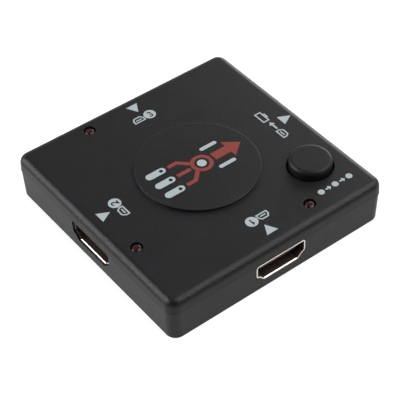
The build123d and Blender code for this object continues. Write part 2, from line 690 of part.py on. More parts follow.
def ceramic_places():
    """Ceramic capacitors around the selector chip."""
    y = SELECTOR_BODY[1] / 2 + FINE_PIN[3] + CERAMIC_ROW_GAP + SMALL_LENGTH / 2
    row = row_places(CERAMIC_COUNT, CERAMIC_PITCH, y)
    return [on_board(0, 0) * turned(name, place) for name in TURNS for place in row]


def case_nodes():
    """The two shells, their screws, the board and the button."""
    return {
        "upper_shell": upper_shell(),
        "lower_shell": lower_shell(),
        "case_screws": case_screws(),
        "circuit_board": circuit_board(),
        "push_button": push_button(),
    }


def socket_nodes():
    """Shell, moulded body and contacts of each socket."""
    shell, contacts = socket_shell(), socket_contacts()
    body = socket_body(contacts)
    nodes = {}
    for name in TURNS:
        nodes[name + "_socket_shell"] = at_wall(name, shell)
        nodes[name + "_socket_body"] = at_wall(name, body)
        nodes[name + "_socket_contacts"] = [at_wall(name, strip) for strip in contacts]
    return nodes


def switch_nodes():
    """The separate pieces of the tactile switch."""
    terminals = switch_terminals()
    place = switch_place()
    return {
        "switch_body": place * switch_body(terminals),
        "switch_lid": place * switch_lid(),
        "switch_stem": place * switch_stem(),
        "switch_dome": place * switch_dome(),
        "switch_terminals": [place * piece for piece in terminals],
    }


def lamp_nodes():
    """Lens and leads of each lamp."""
    leads = lamp_leads()
    lens = lamp_lens(leads)
    nodes = {}
    for name in INPUTS:
        nodes[name + "_lamp_lens"] = lamp_place(name) * lens
        nodes[name + "_lamp_leads"] = [lamp_place(name) * lead for lead in leads]
    return nodes


def chip_nodes():
    """Bodies and pins of the chips, and the capacitor in its can."""
    selector, regulator, can = on_board(0, 0), on_board(REGULATOR_X, REGULATOR_Y), on_board(CAN_X, CAN_Y)
    nodes = {
        "selector_chip": selector * chip_body(SELECTOR_BODY),
        "selector_chip_pins": [selector * piece for piece in selector_pins()],
        "regulator": regulator * chip_body(REGULATOR_BODY),
        "regulator_pins": [regulator * piece for piece in regulator_pins()],
        "capacitor_base": can * capacitor_base(),
        "capacitor_can": can * capacitor_can(),
    }
    body, pins = chip_body(MEMORY_BODY), memory_pins()
    for number, (x, y) in enumerate(MEMORY_CORNERS, start=1):
        place = on_board(x * MEMORY_X, y * MEMORY_Y)
        nodes[f"memory_chip_{number}"] = place * body
        nodes[f"memory_chip_{number}_pins"] = [place * piece for piece in pins]
    return nodes


def small_part_nodes():
    """Resistors, ceramic capacitors and the end caps of both."""
    resistor, resistor_ends = small_part(RESISTOR_HEIGHT)
    ceramic, ceramic_ends = small_part(CERAMIC_HEIGHT)
    ends = [place * end for place in resistor_places() for end in resistor_ends]
    ends += [place * end for place in ceramic_places() for end in ceramic_ends]
    return {
        "resistors": [place * resistor for place in resistor_places()],
        "ceramic_capacitors": [place * ceramic for place in ceramic_places()],
        "end_caps": ends,
    }


def write(name, shape):
    """Write one node's STEP file; a list becomes a group of separate solids."""
    solids = shape if isinstance(shape, list) else [shape]
    group = Compound([solid for piece in solids for solid in piece.solids()])
    group.label = name
    export_step(group, os.path.join("parts", name + ".step"))


def main():
    """Build every node and write it."""
    os.makedirs("parts", exist_ok=True)
    groups = (case_nodes, socket_nodes, switch_nodes, lamp_nodes, chip_nodes, small_part_nodes)
    for nodes in groups:
        for name, shape in nodes().items():
            write(name, shape)


if __name__ == "__main__":
    main()
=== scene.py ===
"""Looks of a three-way video switch box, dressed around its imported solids.

Lengths are in metres, in the frame of the solids: the origin is the middle of the underside, +Z
points up, input 1 faces -Y, input 2 faces -X, input 3 faces +Y and the output faces +X.
"""
from __future__ import annotations

import json
import logging
from abc import ABC, abstractmethod
from dataclasses import dataclass
from enum import Enum
from math import acos, cos, pi, radians, sin

import bmesh
import bpy
from mathutils import Matrix, Vector

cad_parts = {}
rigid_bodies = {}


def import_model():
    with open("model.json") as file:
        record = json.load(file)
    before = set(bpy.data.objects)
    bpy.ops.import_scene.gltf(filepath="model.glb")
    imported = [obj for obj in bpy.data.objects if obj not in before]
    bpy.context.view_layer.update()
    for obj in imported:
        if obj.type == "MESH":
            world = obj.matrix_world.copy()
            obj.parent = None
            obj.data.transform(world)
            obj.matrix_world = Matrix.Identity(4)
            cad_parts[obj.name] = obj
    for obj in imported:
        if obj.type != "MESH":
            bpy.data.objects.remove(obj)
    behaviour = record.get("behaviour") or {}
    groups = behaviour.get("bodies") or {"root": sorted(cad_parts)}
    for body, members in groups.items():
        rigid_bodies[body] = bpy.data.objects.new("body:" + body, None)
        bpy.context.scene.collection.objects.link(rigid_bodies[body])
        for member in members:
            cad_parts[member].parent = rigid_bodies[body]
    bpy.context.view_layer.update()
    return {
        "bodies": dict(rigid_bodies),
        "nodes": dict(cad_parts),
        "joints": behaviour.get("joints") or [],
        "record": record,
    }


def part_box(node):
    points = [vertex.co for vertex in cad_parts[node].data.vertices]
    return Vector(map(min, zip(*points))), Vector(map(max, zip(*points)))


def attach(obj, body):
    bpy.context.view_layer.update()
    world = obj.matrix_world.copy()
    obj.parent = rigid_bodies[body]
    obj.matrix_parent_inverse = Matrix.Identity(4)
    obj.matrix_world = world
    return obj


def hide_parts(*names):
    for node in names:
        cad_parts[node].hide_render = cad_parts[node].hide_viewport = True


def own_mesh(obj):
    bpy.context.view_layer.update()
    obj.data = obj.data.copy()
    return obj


Triple = tuple[float, float, float]
Colour = Triple
Point = tuple[float, float]
Corners = tuple[Point, Point, Point]
Outline = list[Point]
Ring = list[bmesh.types.BMVert]
Socket = bpy.types.NodeSocket
# What an input of a node can get.
Source = Socket | float | Triple

MM = 0.001
WHITE: Colour = (1, 1, 1)
CASE_BODY = "case"
# Values that most of a noise lies between.
NOISE_SPAN: Point = (0.3, 0.7)
# Rays that find the rounded edges and the recesses.
BEVEL_SAMPLES = 6
OPENNESS_SAMPLES = 8
LOG = logging.getLogger("switch_box")


class Port(Enum):
    """The four sockets, each with the turn about +Z that brings the -Y wall to its own.

    The last value is the shift of its marks from their usual place, before that turn.
    """

    INPUT_1 = ("input_1", 0, (0, 0))
    INPUT_2 = ("input_2", -90, (-0.90 * MM, -0.1 * MM))
    INPUT_3 = ("input_3", 180, (-0.85 * MM, -0.4 * MM))
    OUTPUT = ("output", 90, (0, 0))

    def __init__(self, label: str, degrees: float, shift: Point) -> None:
        """Keep the word that its marks start with, its turn in radians and that shift."""
        self.label, self.turn, self.shift = label, radians(degrees), shift


INPUTS = (Port.INPUT_1, Port.INPUT_2, Port.INPUT_3)


class Ray(Enum):
    """Kinds of ray that show the background."""

    CAMERA = "Is Camera Ray"
    GLOSSY = "Is Glossy Ray"
    TRANSMISSION = "Is Transmission Ray"


def arc(centre: Point, radius: float, start: float, end: float, steps: int = 12) -> Outline:
    """Points along an arc.

    Args:
        centre: Centre of the arc.
        radius: Its radius.
        start: Angle of the first point in degrees, from +X towards +Y.
        end: Angle of the last point in degrees.
        steps: Number of straight steps.

    Returns:
        The points, both ends included.
    """
    angles = [radians(start + (end - start) * k / steps) for k in range(steps + 1)]
    return [(centre[0] + radius * cos(angle), centre[1] + radius * sin(angle)) for angle in angles]


def circle(centre: Point, radius: float, steps: int = 40) -> Outline:
    """Closed outline of a disc."""
    return arc(centre, radius, 0, 360, steps)[:-1]


def beside(path: Outline, reach: float, closed: bool = False) -> Outline:
    """Move a path to its left, with mitred corners.

    Args:
        path: Points of the path.
        reach: How far it moves.
        closed: Whether its end joins its start.

    Returns:
        The moved points.
    """
    points = [Vector(point) for point in path]
    ways = [(after - before).normalized() for before, after in zip(points, points[1:] + points[:1])]
    moved = []
    for k, point in enumerate(points):
        before = ways[k - 1] if closed or k else ways[k]
        after = ways[k] if closed or k < len(points) - 1 else ways[k - 1]
        mitre = (before + after) / (1 + before.dot(after))
        moved.append((point.x - reach * mitre.y, point.y + reach * mitre.x))
    return moved


def stroke(path: Outline, width: float) -> Outline:
    """Outline of an open line of the given width, with flat ends."""
    return beside(path, width / 2) + beside(path, -width / 2)[::-1]


def loop(path: Outline, width: float) -> list[Outline]:
    """Outer and inner outline of a closed line of the given width."""
    return [beside(path, width / 2, True), beside(path, -width / 2, True)]


def bar(ends: Point, level: float, width: float) -> Outline:
    """Outline of a level bar with round ends.

    Args:
        ends: Where it starts and ends along X.
        level: Where its middle line lies along Y.
        width: Its width.

    Returns:
        The closed outline.
    """
    half = width / 2
    right = arc((ends[1] - half, level), half, -90, 90)
    return right + arc((ends[0] + half, level), half, 90, 270)


def arrow(ends: Point, level: float, shaft: float, head: Point) -> Outline:
    """Outline of a level arrow that points to +X.

    Args:
        ends: Where its flat end and its point lie along X.
        level: Where its middle line lies along Y.
        shaft: Width of its shaft.
        head: Length and width of its head.

    Returns:
        The closed outline.
    """
    neck, wing = ends[1] - head[0], head[1] / 2
    upper = [(ends[0], level + shaft / 2), (neck, level + shaft / 2), (neck, level + wing)]
    return upper + [(ends[1], level)] + [(x, 2 * level - above) for x, above in reversed(upper)]


def turned(outline: Outline, angle: float, centre: Point = (0, 0)) -> Outline:
    """Turn an outline about the origin, then move it.

    Args:
        outline: Points of the outline.
        angle: The turn in radians.
        centre: Where the origin goes.

    Returns:
        The placed points.
    """
    return [
        (centre[0] + x * cos(angle) - y * sin(angle), centre[1] + x * sin(angle) + y * cos(angle))
        for x, y in outline
    ]


def linked(data: bpy.types.ID) -> bpy.types.Object:
    """Put a mesh, lamp or camera into the scene.

    Args:
        data: What the object shows, whose name it gets.

    Returns:
        The object.
    """
    thing = bpy.data.objects.new(data.name, data)
    bpy.context.collection.objects.link(thing)
    return thing


def as_object(build: bmesh.types.BMesh, name: str) -> bpy.types.Object:
    """Turn a mesh in the making into an object of the scene.

    Args:
        build: The mesh, which is used up.
        name: Name of the object and its mesh.

    Returns:
        The object.
    """
    mesh = bpy.data.meshes.new(name)
    build.to_mesh(mesh)
    build.free()
    return linked(mesh)


def toned(colour: Colour, factor: float) -> Colour:
    """Colour made lighter or darker by a factor, no brighter than 1."""
    return tuple(min(1.0, factor * part) for part in colour)


class Graph:
    """Node graph of a material or a world, with short calls for its steps."""

    def __init__(self, tree: bpy.types.NodeTree) -> None:
        """Start with an empty graph in the node tree of the material or the world."""
        self.nodes, self.links = tree.nodes, tree.links
        self.nodes.clear()

    def wire(self, socket: Socket, source: Source) -> None:
        """Link an input to another node, or set it.

        Args:
            socket: The input.
            source: Output of another node, or a number, colour or direction.
        """
        if isinstance(source, Socket):
            self.links.new(source, socket)
        elif socket.type == "RGBA":
            socket.default_value = (*source, 1.0)
        else:
            socket.default_value = source

    def feed(self, node: bpy.types.Node, *sources: Source, **named: Source) -> bpy.types.Node:
        """Link or set inputs of a node.

        Args:
            node: The node.
            sources: What its first inputs get, in order.
            named: What other inputs get, with underscores for spaces in their names.

        Returns:
            The node.
        """
        for socket, source in zip(node.inputs, sources):
            self.wire(socket, source)
        for name, source in named.items():
            self.wire(node.inputs[name.replace("_", " ")], source)
        return node

    def node(self, kind: str, *sources: Source, **named: Source) -> bpy.types.Node:
        """Add a node of some kind, such as Bump, and feed its inputs."""
        return self.feed(self.nodes.new(f"ShaderNode{kind}"), *sources, **named)

    def step(self, kind: str, operation: str, *terms: Source) -> Socket:
        """Do one arithmetic step.

        Args:
            kind: Kind of its node.
            operation: Name of the step.
            terms: What it works on, in order.

        Returns:
            The resulting number.
        """
        node = self.node(kind)
        node.operation = operation
        return self.feed(node, *terms).outputs["Value"]

    def math(self, operation: str, *terms: Socket | float) -> Socket:
        """Do one step with numbers."""
        return self.step("Math", operation, *terms)

    def dot(self, first: Socket, second: Socket | Triple) -> Socket:
        """Dot product of two directions."""
        return self.step("VectorMath", "DOT_PRODUCT", first, second)

    def remap(self, value: Socket, given: Point, wanted: Point = (0, 1)) -> Socket:
        """Map one range of values onto another, clamped at its ends."""
        return self.node("MapRange", value, *given, *wanted).outputs["Result"]

    def blend(self, share: Socket, first: Socket | Colour, second: Socket | Colour) -> Socket:
        """Mix two colours.

        Args:
            share: Share of the second colour, from 0 to 1.
            first: First colour.
            second: Second colour.

        Returns:
            The mixed colour.
        """
        node = self.node("Mix")
        node.data_type = "RGBA"
        self.wire(node.inputs["Factor"], share)
        colours = [socket for socket in node.inputs if socket.type == "RGBA"]
        for socket, colour in zip(colours, (first, second)):
            self.wire(socket, colour)
        return next(socket for socket in node.outputs if socket.type == "RGBA")

    def mix(self, share: Socket, first: Socket, second: Socket) -> Socket:
        """Mix two shaders, with the given share of the second, from 0 to 1."""
        return self.node("MixShader", share, first, second).outputs["Shader"]

    def ray(self, kind: Ray) -> Socket:
        """Number that is 1 for one kind of ray and 0 for the others."""
        return self.node("LightPath").outputs[kind.value]

    def shown(self) -> Socket:
        """Find the rays that show the background.

        Returns:
            A number that is 1 for them and 0 for the others.
        """
        total = 0.0
        for kind in Ray:
            total = self.math("MAXIMUM", total, self.ray(kind))
        return total


class Surface(Graph):
    """Graph of one material, around a principled shader."""

    def __init__(self, name: str) -> None:
        """Start the material.

        Args:
            name: Its name.
        """
        self.material = bpy.data.materials.new(name)
        self.material.use_nodes = True
        super().__init__(self.material.node_tree)
        self.shader = self.node("BsdfPrincipled")
        self.output = self.node("OutputMaterial", Surface=self.shader.outputs["BSDF"])
        self.place = self.node("TexCoord").outputs["Object"]

    def set(self, **named: Source) -> None:
        """Link or set inputs of the shader, with underscores for spaces in their names."""
        self.feed(self.shader, **named)

    def noise(
        self, size: float, detail: float = 3.0, rough: float = 0.5, stretch: Triple = (1, 1, 1)
    ) -> Socket:
        """Noise from 0 to 1 over the object.

        Args:
            size: Size of the largest mark.
            detail: Number of finer layers.
            rough: Strength of those layers.
            stretch: How much shorter the marks are along each axis.

        Returns:
            The noise value.
        """
        place = self.node("Mapping", Vector=self.place, Scale=stretch).outputs["Vector"]
        noise = self.node("TexNoise", Vector=place, Scale=1 / size, Detail=detail, Roughness=rough)
        return noise.outputs["Fac"]

    def cells(self, size: float) -> Socket:
        """Distance to the nearest of many scattered points, as a share of their spacing."""
        return self.node("TexVoronoi", Vector=self.place, Scale=1 / size).outputs["Distance"]

    def bump(self, height: Socket, depth: float, under: Socket | None = None) -> Socket:
        """Turn a height from 0 to 1 into a normal.

        Args:
            height: Height over the surface.
            depth: Height that 1 stands for.
            under: Normal to start from.

        Returns:
            The bumped normal.
        """
        node = self.node("Bump", Height=height, Distance=depth)
        if under:
            self.wire(node.inputs["Normal"], under)
        return node.outputs["Normal"]

    def rounded(self, radius: float) -> Socket:
        """Round sharp edges in the shading.

        Args:
            radius: Radius of the rounding.

        Returns:
            The rounded normal.
        """
        node = self.node("Bevel", Radius=radius)
        node.samples = BEVEL_SAMPLES
        return node.outputs["Normal"]

    def openness(self, reach: float) -> Socket:
        """Tell open faces from deep recesses.

        Args:
            reach: How far other faces count.

        Returns:
            Share of the surroundings that is free of them.
        """
        node = self.node("AmbientOcclusion", Distance=reach)
        node.samples = OPENNESS_SAMPLES
        return node.outputs["AO"]

    def edges(self, radius: float, sharpness: Point = (0.005, 0.12)) -> Socket:
        """Mask that is 1 along edges and 0 on open faces.

        Args:
            radius: Width of the worn strip.
            sharpness: How far the rounded normal may turn before the mask starts and fills.

        Returns:
            The mask.
        """
        flat = self.node("NewGeometry").outputs["Normal"]
        turn = self.math("SUBTRACT", 1.0, self.dot(self.rounded(radius), flat))
        return self.remap(turn, sharpness)

    def slant(self) -> Socket:
        """Mask for rounded edges between level and upright faces.

        Returns:
            A number that is 1 halfway round such an edge and 0 on those faces.
        """
        normal = self.node("TexCoord").outputs["Normal"]
        upward = self.node("SeparateXYZ", Vector=normal).outputs["Z"]
        level = self.math("MULTIPLY", upward, upward)
        half = self.math("MULTIPLY", level, self.math("SUBTRACT", 1.0, level))
        # The product is a quarter at its most, so four of it fill the mask.
        return self.math("MULTIPLY", half, 4.0)


@dataclass(frozen=True)
class Finish(ABC):
    """Looks of one material slot.

    Attributes:
        name: The slot.
        colour: Its main colour.
    """

    name: str
    colour: Colour

    def build(self) -> bpy.types.Material:
        """Make the material.

        Returns:
            The material.
        """
        graph = Surface(self.name)
        self.paint(graph)
        return graph.material

    @abstractmethod
    def paint(self, graph: Surface) -> None:
        """Set the shader.

        Args:
            graph: Graph of the material.
        """


@dataclass(frozen=True)
class GrainedPlastic(Finish):
    """Moulded plastic with a fine spark-eroded grain, rubbed on its edges.

    Attributes:
        rubbed: Colour of its rubbed edges.
        roughness: Roughness in the hollows and on the peaks of the grain.
        grain: Size of the grain.
        depth: Depth of the grain.
        shine: Strength of its gloss.
        ripple: Depth of the waves on its rounded edges, if it has any.
        wave: Size of those waves.
        cloud: Size of its lighter and darker patches.
        cloud_share: Share of the patches in the tone, beside the grain.
        tint_span: Values of that mix from darkest to lightest tone.
        tones: Those two tones, as multiples of the colour.
        edge: Width of the rubbed edges.
        wear_span: Values of the patches from least to most wear.
        wear: Least and most wear on the edges.
        rounding: Radius of sharp edges in the shading.
    """

    rubbed: Colour
    roughness: Point
    grain: float
    depth: float = 0.02 * MM
    shine: float = 0.24
    ripple: float = 0.0
    wave: float = 0.60 * MM
    cloud: float = 9 * MM
    cloud_share: float = 0.6
    tint_span: Point = (0.35, 0.65)
    tones: Point = (0.82, 1.18)
    edge: float = 0.25 * MM
    wear_span: Point = (0.35, 0.75)
    wear: Point = (0.25, 0.9)
    rounding: float = 0.12 * MM

    def paint(self, graph: Surface) -> None:
        """Set the shader.

        Args:
            graph: Graph of the material.
        """
        speckle = graph.noise(self.grain, detail=2.0, rough=0.6)
        cloud = graph.noise(self.cloud, rough=0.55)
        fine = graph.math("MULTIPLY", speckle, 1 - self.cloud_share)
        tint = graph.math("ADD", fine, graph.math("MULTIPLY", cloud, self.cloud_share))
        dark, light = (toned(self.colour, tone) for tone in self.tones)
        body = graph.blend(graph.remap(tint, self.tint_span), dark, light)
        wear = graph.remap(cloud, self.wear_span, self.wear)
        rub = graph.math("MULTIPLY", graph.edges(self.edge), wear)
        normal = graph.bump(speckle, self.depth, graph.rounded(self.rounding))
        if self.ripple:
            wave = graph.math("SUBTRACT", graph.noise(self.wave, detail=1.0), 0.5)
            normal = graph.bump(graph.math("MULTIPLY", wave, graph.slant()), self.ripple, normal)
        graph.set(
            Base_Color=graph.blend(rub, body, self.rubbed),
            Roughness=graph.remap(speckle, NOISE_SPAN, self.roughness),
            Normal=normal,
            Specular_IOR_Level=self.shine,
        )


@dataclass(frozen=True)
class SheetMetal(Finish):
    """Plated or drawn sheet with rolling marks, faint stains and bright edges; where shade is set,
    painted shade darkens its deep hollows.

    Attributes:
        stain: Colour of its stains.
        roughness: Lowest and highest roughness of the rolling marks.
        stretch: How much shorter the rolling marks are along each axis.
        edge: Width of the bright edges.
        shade: How far other faces reach when painted shade darkens the hollows, or 0 for none.
        mark: Size of the rolling marks.
        depth: Depth of the rolling marks.
        cloud: Size of the stains.
        stain_span: Values of that noise from no stain to a full one.
        stained: Share of the stain's colour where a stain is full.
        bright: Tone of the edges, as a multiple of the colour.
        painted_shade_span: Openness from full painted shade in a deep hollow to a clear face without
            any.
        painted_shade_tone: What is left of the stain's colour under full painted shade.
        recess_roughness: Roughness there.
    """

    stain: Colour
    roughness: Point = (0.18, 0.34)
    stretch: Triple = (1, 1, 6)
    edge: float = 0.10 * MM
    shade: float = 0.0
    mark: float = 0.9 * MM
    depth: float = 0.0015 * MM
    cloud: float = 3.5 * MM
    stain_span: Point = (0.45, 0.72)
    stained: float = 0.8
    bright: float = 1.12
    painted_shade_span: Point = (0.48, 0.64)
    painted_shade_tone: Colour = (0.16, 0.11, 0.11)
    recess_roughness: float = 0.6

    def paint(self, graph: Surface) -> None:
        """Set the shader.

        Args:
            graph: Graph of the material.
        """
        rolled = graph.noise(self.mark, detail=4.0, rough=0.6, stretch=self.stretch)
        cloud = graph.noise(self.cloud, rough=0.6)
        stains = graph.remap(cloud, self.stain_span, (0, self.stained))
        body = graph.blend(stains, self.colour, self.stain)
        colour = graph.blend(graph.edges(self.edge), body, toned(self.colour, self.bright))
        gloss = graph.remap(rolled, NOISE_SPAN, self.roughness)
        # Painted shade: where other faces stand close by, the colour darkens towards a dark brown and
        # the roughness rises, standing in for the little light in deep hollows.
        if self.shade:
            unshaded_share = graph.remap(graph.openness(self.shade), self.painted_shade_span)
            painted_shade_colour = tuple(share * part for share, part in zip(self.painted_shade_tone, self.stain))
            colour = graph.blend(unshaded_share, painted_shade_colour, colour)
            matt = graph.remap(unshaded_share, (0, 1), (self.recess_roughness, 0))
            gloss = graph.math("MAXIMUM", gloss, matt)
        normal = graph.bump(rolled, self.depth, graph.rounded(self.edge / 2))
        graph.set(Base_Color=colour, Roughness=gloss, Normal=normal, Metallic=1.0)


@dataclass(frozen=True)
class LampEpoxy(Finish):
    """Coloured casting resin of a lamp that isn't lit, dark inside, with a few flow marks.

    Attributes:
        deep: Colour of its depth.
        flow: Size of the flow marks.
        flow_span: Values of that noise from the main colour to the deep one.
        stretch: How much shorter the marks are along each axis.
        depth: Depth of the flow marks.
        haze: Size of its duller patches.
        roughness: Lowest and highest roughness.
        shine: Strength of its gloss.
        coat: Strength of the polish over it.
        coat_roughness: Roughness of that polish.
    """

    deep: Colour
    flow: float = 0.8 * MM
    flow_span: Point = (0.35, 0.7)
    stretch: Triple = (1, 1, 0.5)
    depth: float = 0.004 * MM
    haze: float = 0.5 * MM
    roughness: Point = (0.05, 0.14)
    shine: float = 0.25
    coat: float = 0.2
    coat_roughness: float = 0.04

    def paint(self, graph: Surface) -> None:
        """Set the shader.

        Args:
            graph: Graph of the material.
        """
        flow = graph.noise(self.flow, rough=0.6, stretch=self.stretch)
        graph.set(
            Base_Color=graph.blend(graph.remap(flow, self.flow_span), self.colour, self.deep),
            Roughness=graph.remap(graph.noise(self.haze), NOISE_SPAN, self.roughness),
            Normal=graph.bump(flow, self.depth),
            Specular_IOR_Level=self.shine,
            Coat_Weight=self.coat,
            Coat_Roughness=self.coat_roughness,
        )


@dataclass(frozen=True)
class Ink(Finish):
    """Screen-printed ink, a little uneven where it lies on the grain.

    Attributes:
        thin: Colour where the plastic shows through.
        pore: Size of its pores.
        pore_span: Values of that noise from covered plastic to a pore.
        depth: Depth of its pores.
        thinned: Share of the thin colour in a pore.
        haze: Size of its duller patches.
        roughness: Lowest and highest roughness.
        shine: Strength of its gloss.
    """

    thin: Colour
    pore: float = 0.14 * MM
    pore_span: Point = (0.52, 0.75)
    depth: float = 0.004 * MM
    thinned: float = 0.8
    haze: float = 0.6 * MM
    roughness: Point = (0.45, 0.62)
    shine: float = 0.3

    def paint(self, graph: Surface) -> None:
        """Set the shader.

        Args:
            graph: Graph of the material.
        """
        pores = graph.noise(self.pore, detail=2.0, rough=0.6)
        bare = graph.remap(pores, self.pore_span, (0, self.thinned))
        graph.set(
            Base_Color=graph.blend(bare, self.colour, self.thin),
            Roughness=graph.remap(graph.noise(self.haze), NOISE_SPAN, self.roughness),
            Normal=graph.bump(pores, self.depth),
            Specular_IOR_Level=self.shine,
        )


@dataclass(frozen=True)
class SolderMask(Finish):
    """Green board: glossy mask over faint copper tracks, with weave showing through.

    Attributes:
        track: Colour over a track.
        pitch: Spacing of the tracks.
        track_span: Distances over which a track ends, as shares of that spacing.
        track_height: How far a track stands up.
        weave: Size of the weave.
        stretch: How much shorter the weave is along each axis.
        depth: Depth of the weave.
        shadow_span: Values of that noise from a thread to a gap.
        shadow: Tone in a gap, as a multiple of the colour.
        shadowed: Share of that tone where it is full.
        roughness: Lowest and highest roughness.
    """

    track: Colour
    pitch: float = 1.6 * MM
    track_span: Point = (0.30, 0.36)
    track_height: float = 0.02 * MM
    weave: float = 0.35 * MM
    stretch: Triple = (1, 1, 4)
    depth: float = 0.004 * MM
    shadow_span: Point = (0.5, 0.8)
    shadow: float = 0.75
    shadowed: float = 0.6
    roughness: Point = (0.22, 0.38)

    def paint(self, graph: Surface) -> None:
        """Set the shader.

        Args:
            graph: Graph of the material.
        """
        tracks = graph.remap(graph.cells(self.pitch), self.track_span, (1, 0))
        weave = graph.noise(self.weave, detail=2.0, stretch=self.stretch)
        body = graph.blend(tracks, self.colour, self.track)
        threads = graph.remap(weave, self.shadow_span, (0, self.shadowed))
        graph.set(
            Base_Color=graph.blend(threads, body, toned(self.colour, self.shadow)),
            Roughness=graph.remap(weave, NOISE_SPAN, self.roughness),
            Normal=graph.bump(tracks, self.track_height, graph.bump(weave, self.depth)),
        )


TINNED_STEEL = SheetMetal("tinned_steel", (0.74, 0.74, 0.73), (0.52, 0.52, 0.52))
LEGEND_INK = Ink("legend_ink", (0.315, 0.362, 0.371), (0.24, 0.28, 0.29))
EMBLEM_RED = Ink("emblem_red", (0.185, 0.028, 0.020), (0.13, 0.020, 0.015))

FINISHES = (
    GrainedPlastic(
        "case_plastic", (0.0070, 0.0071, 0.0081), (0.026, 0.026, 0.027),
        roughness=(0.44, 0.30), grain=0.40 * MM, depth=0.045 * MM, ripple=0.095 * MM,
    ),
    GrainedPlastic(
        "button_plastic", (0.0068, 0.0068, 0.0074), (0.034, 0.034, 0.035),
        roughness=(0.34, 0.46), grain=0.30 * MM, depth=0.03 * MM, shine=0.20,
    ),
    # Painted light: this colour is lighter and browner than the black plastic itself, standing in for
    # light scattered into the socket mouths.
    GrainedPlastic(
        "socket_plastic", (0.045, 0.031, 0.029), (0.07, 0.05, 0.047),
        roughness=(0.4, 0.55), grain=0.3 * MM, depth=0.004 * MM,
    ),
    GrainedPlastic(
        "switch_plastic", (0.012, 0.012, 0.013), (0.05, 0.05, 0.05),
        roughness=(0.4, 0.55), grain=0.1 * MM,
    ),
    GrainedPlastic(
        "chip_resin", (0.016, 0.016, 0.017), (0.05, 0.05, 0.05),
        roughness=(0.5, 0.65), grain=0.06 * MM,
    ),
    GrainedPlastic(
        "resistor_glaze", (0.012, 0.012, 0.014), (0.2, 0.2, 0.2),
        roughness=(0.15, 0.3), grain=0.3 * MM,
    ),
    GrainedPlastic(
        "capacitor_ceramic", (0.42, 0.26, 0.13), (0.55, 0.40, 0.25),
        roughness=(0.4, 0.6), grain=0.1 * MM,
    ),
    # socket_steel and contact_gold get painted shade: their colour darkens inside the socket mouths,
    # within 8 mm of other faces.
    SheetMetal("socket_steel", (0.80, 0.76, 0.70), (0.58, 0.52, 0.45), shade=8 * MM),
    SheetMetal("contact_gold", (0.95, 0.68, 0.30), (0.72, 0.48, 0.20), shade=8 * MM),
    SheetMetal("screw_steel", (0.16, 0.16, 0.17), (0.08, 0.08, 0.085), roughness=(0.3, 0.5)),
    SheetMetal(
        "can_aluminium", (0.86, 0.86, 0.87), (0.70, 0.70, 0.72),
        roughness=(0.2, 0.35), stretch=(1, 1, 0.3),
    ),
    LampEpoxy("lamp_red", (0.030, 0.0026, 0.0052), (0.014, 0.0014, 0.0026)),
    SolderMask("board_laminate", (0.012, 0.095, 0.040), (0.030, 0.16, 0.065)),
    TINNED_STEEL,
    LEGEND_INK,
    EMBLEM_RED,
)


class Wardrobe:
    """Every finish, built once and handed out by name."""

    def __init__(self) -> None:
        """Build all the materials."""
        self.materials = {finish.name: finish.build() for finish in FINISHES}

    def dress(self, thing: bpy.types.Object, name: str) -> None:
        """Give an object one finish.

        Args:
            thing: Object with a mesh.
            name: Name of the finish.
        """
        if not thing.material_slots:
            thing.data.materials.append(self.materials[name])
        for slot in thing.material_slots:
            slot.material = self.materials[name]

    def dress_nodes(self, frame: dict) -> None:
        """Give every solid the finish of its own material slot.
        """
        for part in frame["record"]["subparts"]:
            node, finish = part["node"], part["material_slot"]
            self.dress(frame["nodes"][node], finish)
            LOG.info("%s: %s", node, finish)


@dataclass
class SnapDome:
    """Sprung disc under the switch's stem, which the button flattens in the real switch: a thin cap of
    a ball, built here at rest.

    Attributes:
        name: Name of the piece.
        node: Solid that it stands for.
        finish: Its finish.
        sheet: Thickness of its sheet.
        pressed_share: Share of its height that a press leaves; not used.
        rings: Steps from its top to its rim.
        sides: Steps round it.
    """

    name: str = "snap_dome"
    node: str = "switch_dome"
    finish: SheetMetal = TINNED_STEEL
    sheet: float = 0.1 * MM
    pressed_share: float = 0.70
    rings: int = 12
    sides: int = 72

    def build(self, wardrobe: Wardrobe) -> None:
        """Put the disc where the solid one lies.

        Args:
            wardrobe: The finishes.
        """
        low, high = (Vector(corner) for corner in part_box(self.node))
        middle, foot = (low + high) / 2, low.z
        build = bmesh.new()
        last: Ring = []
        for radius, height in self.profile((high.x - low.x) / 2, high.z - foot):
            turns = [2 * pi * k / self.sides for k in range(self.sides)] if radius else [0.0]
            around = [(middle.x + radius * cos(turn), middle.y + radius * sin(turn)) for turn in turns]
            ring = [build.verts.new((x, y, foot + height)) for x, y in around]
            if last:
                self.join(build, last, ring)
            last = ring
        for face in build.faces:
            face.smooth = True
        dome = as_object(build, self.name)
        wardrobe.dress(dome, self.finish.name)
        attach(dome, CASE_BODY)
        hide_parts(self.node)
        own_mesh(dome)
        LOG.info("%s: %d faces", self.name, len(dome.data.polygons))

    def profile(self, radius: float, rise: float) -> Outline:
        """Half section from the top of the disc round its rim to the top of its hollow.

        Args:
            radius: Radius of the rim.
            rise: Height of the top above the rim.

        Returns:
            Points as (distance from the axis, height).
        """
        ball = (radius ** 2 + rise ** 2) / (2 * rise)
        centre = rise - ball
        sections = []
        for size in (ball, ball - self.sheet):
            rim = acos(-centre / size)
            angles = [rim * k / self.rings for k in range(self.rings + 1)]
            sections.append([(size * sin(angle), centre + size * cos(angle)) for angle in angles])
        outside, inside = sections
        return outside + inside[::-1]

    @staticmethod
    def join(build: bmesh.types.BMesh, first: Ring, second: Ring) -> None:
        """Make the faces between two rings, either of which may be one point.

        Args:
            build: Mesh in the making.
            first: Ring that comes first in the half section.
            second: Ring after it.
        """
        for k in range(max(len(first), len(second))):
            a, b = first[k % len(first)], first[(k + 1) % len(first)]
            c, d = second[(k + 1) % len(second)], second[k % len(second)]
            build.faces.new(list(dict.fromkeys((a, d, c, b))))


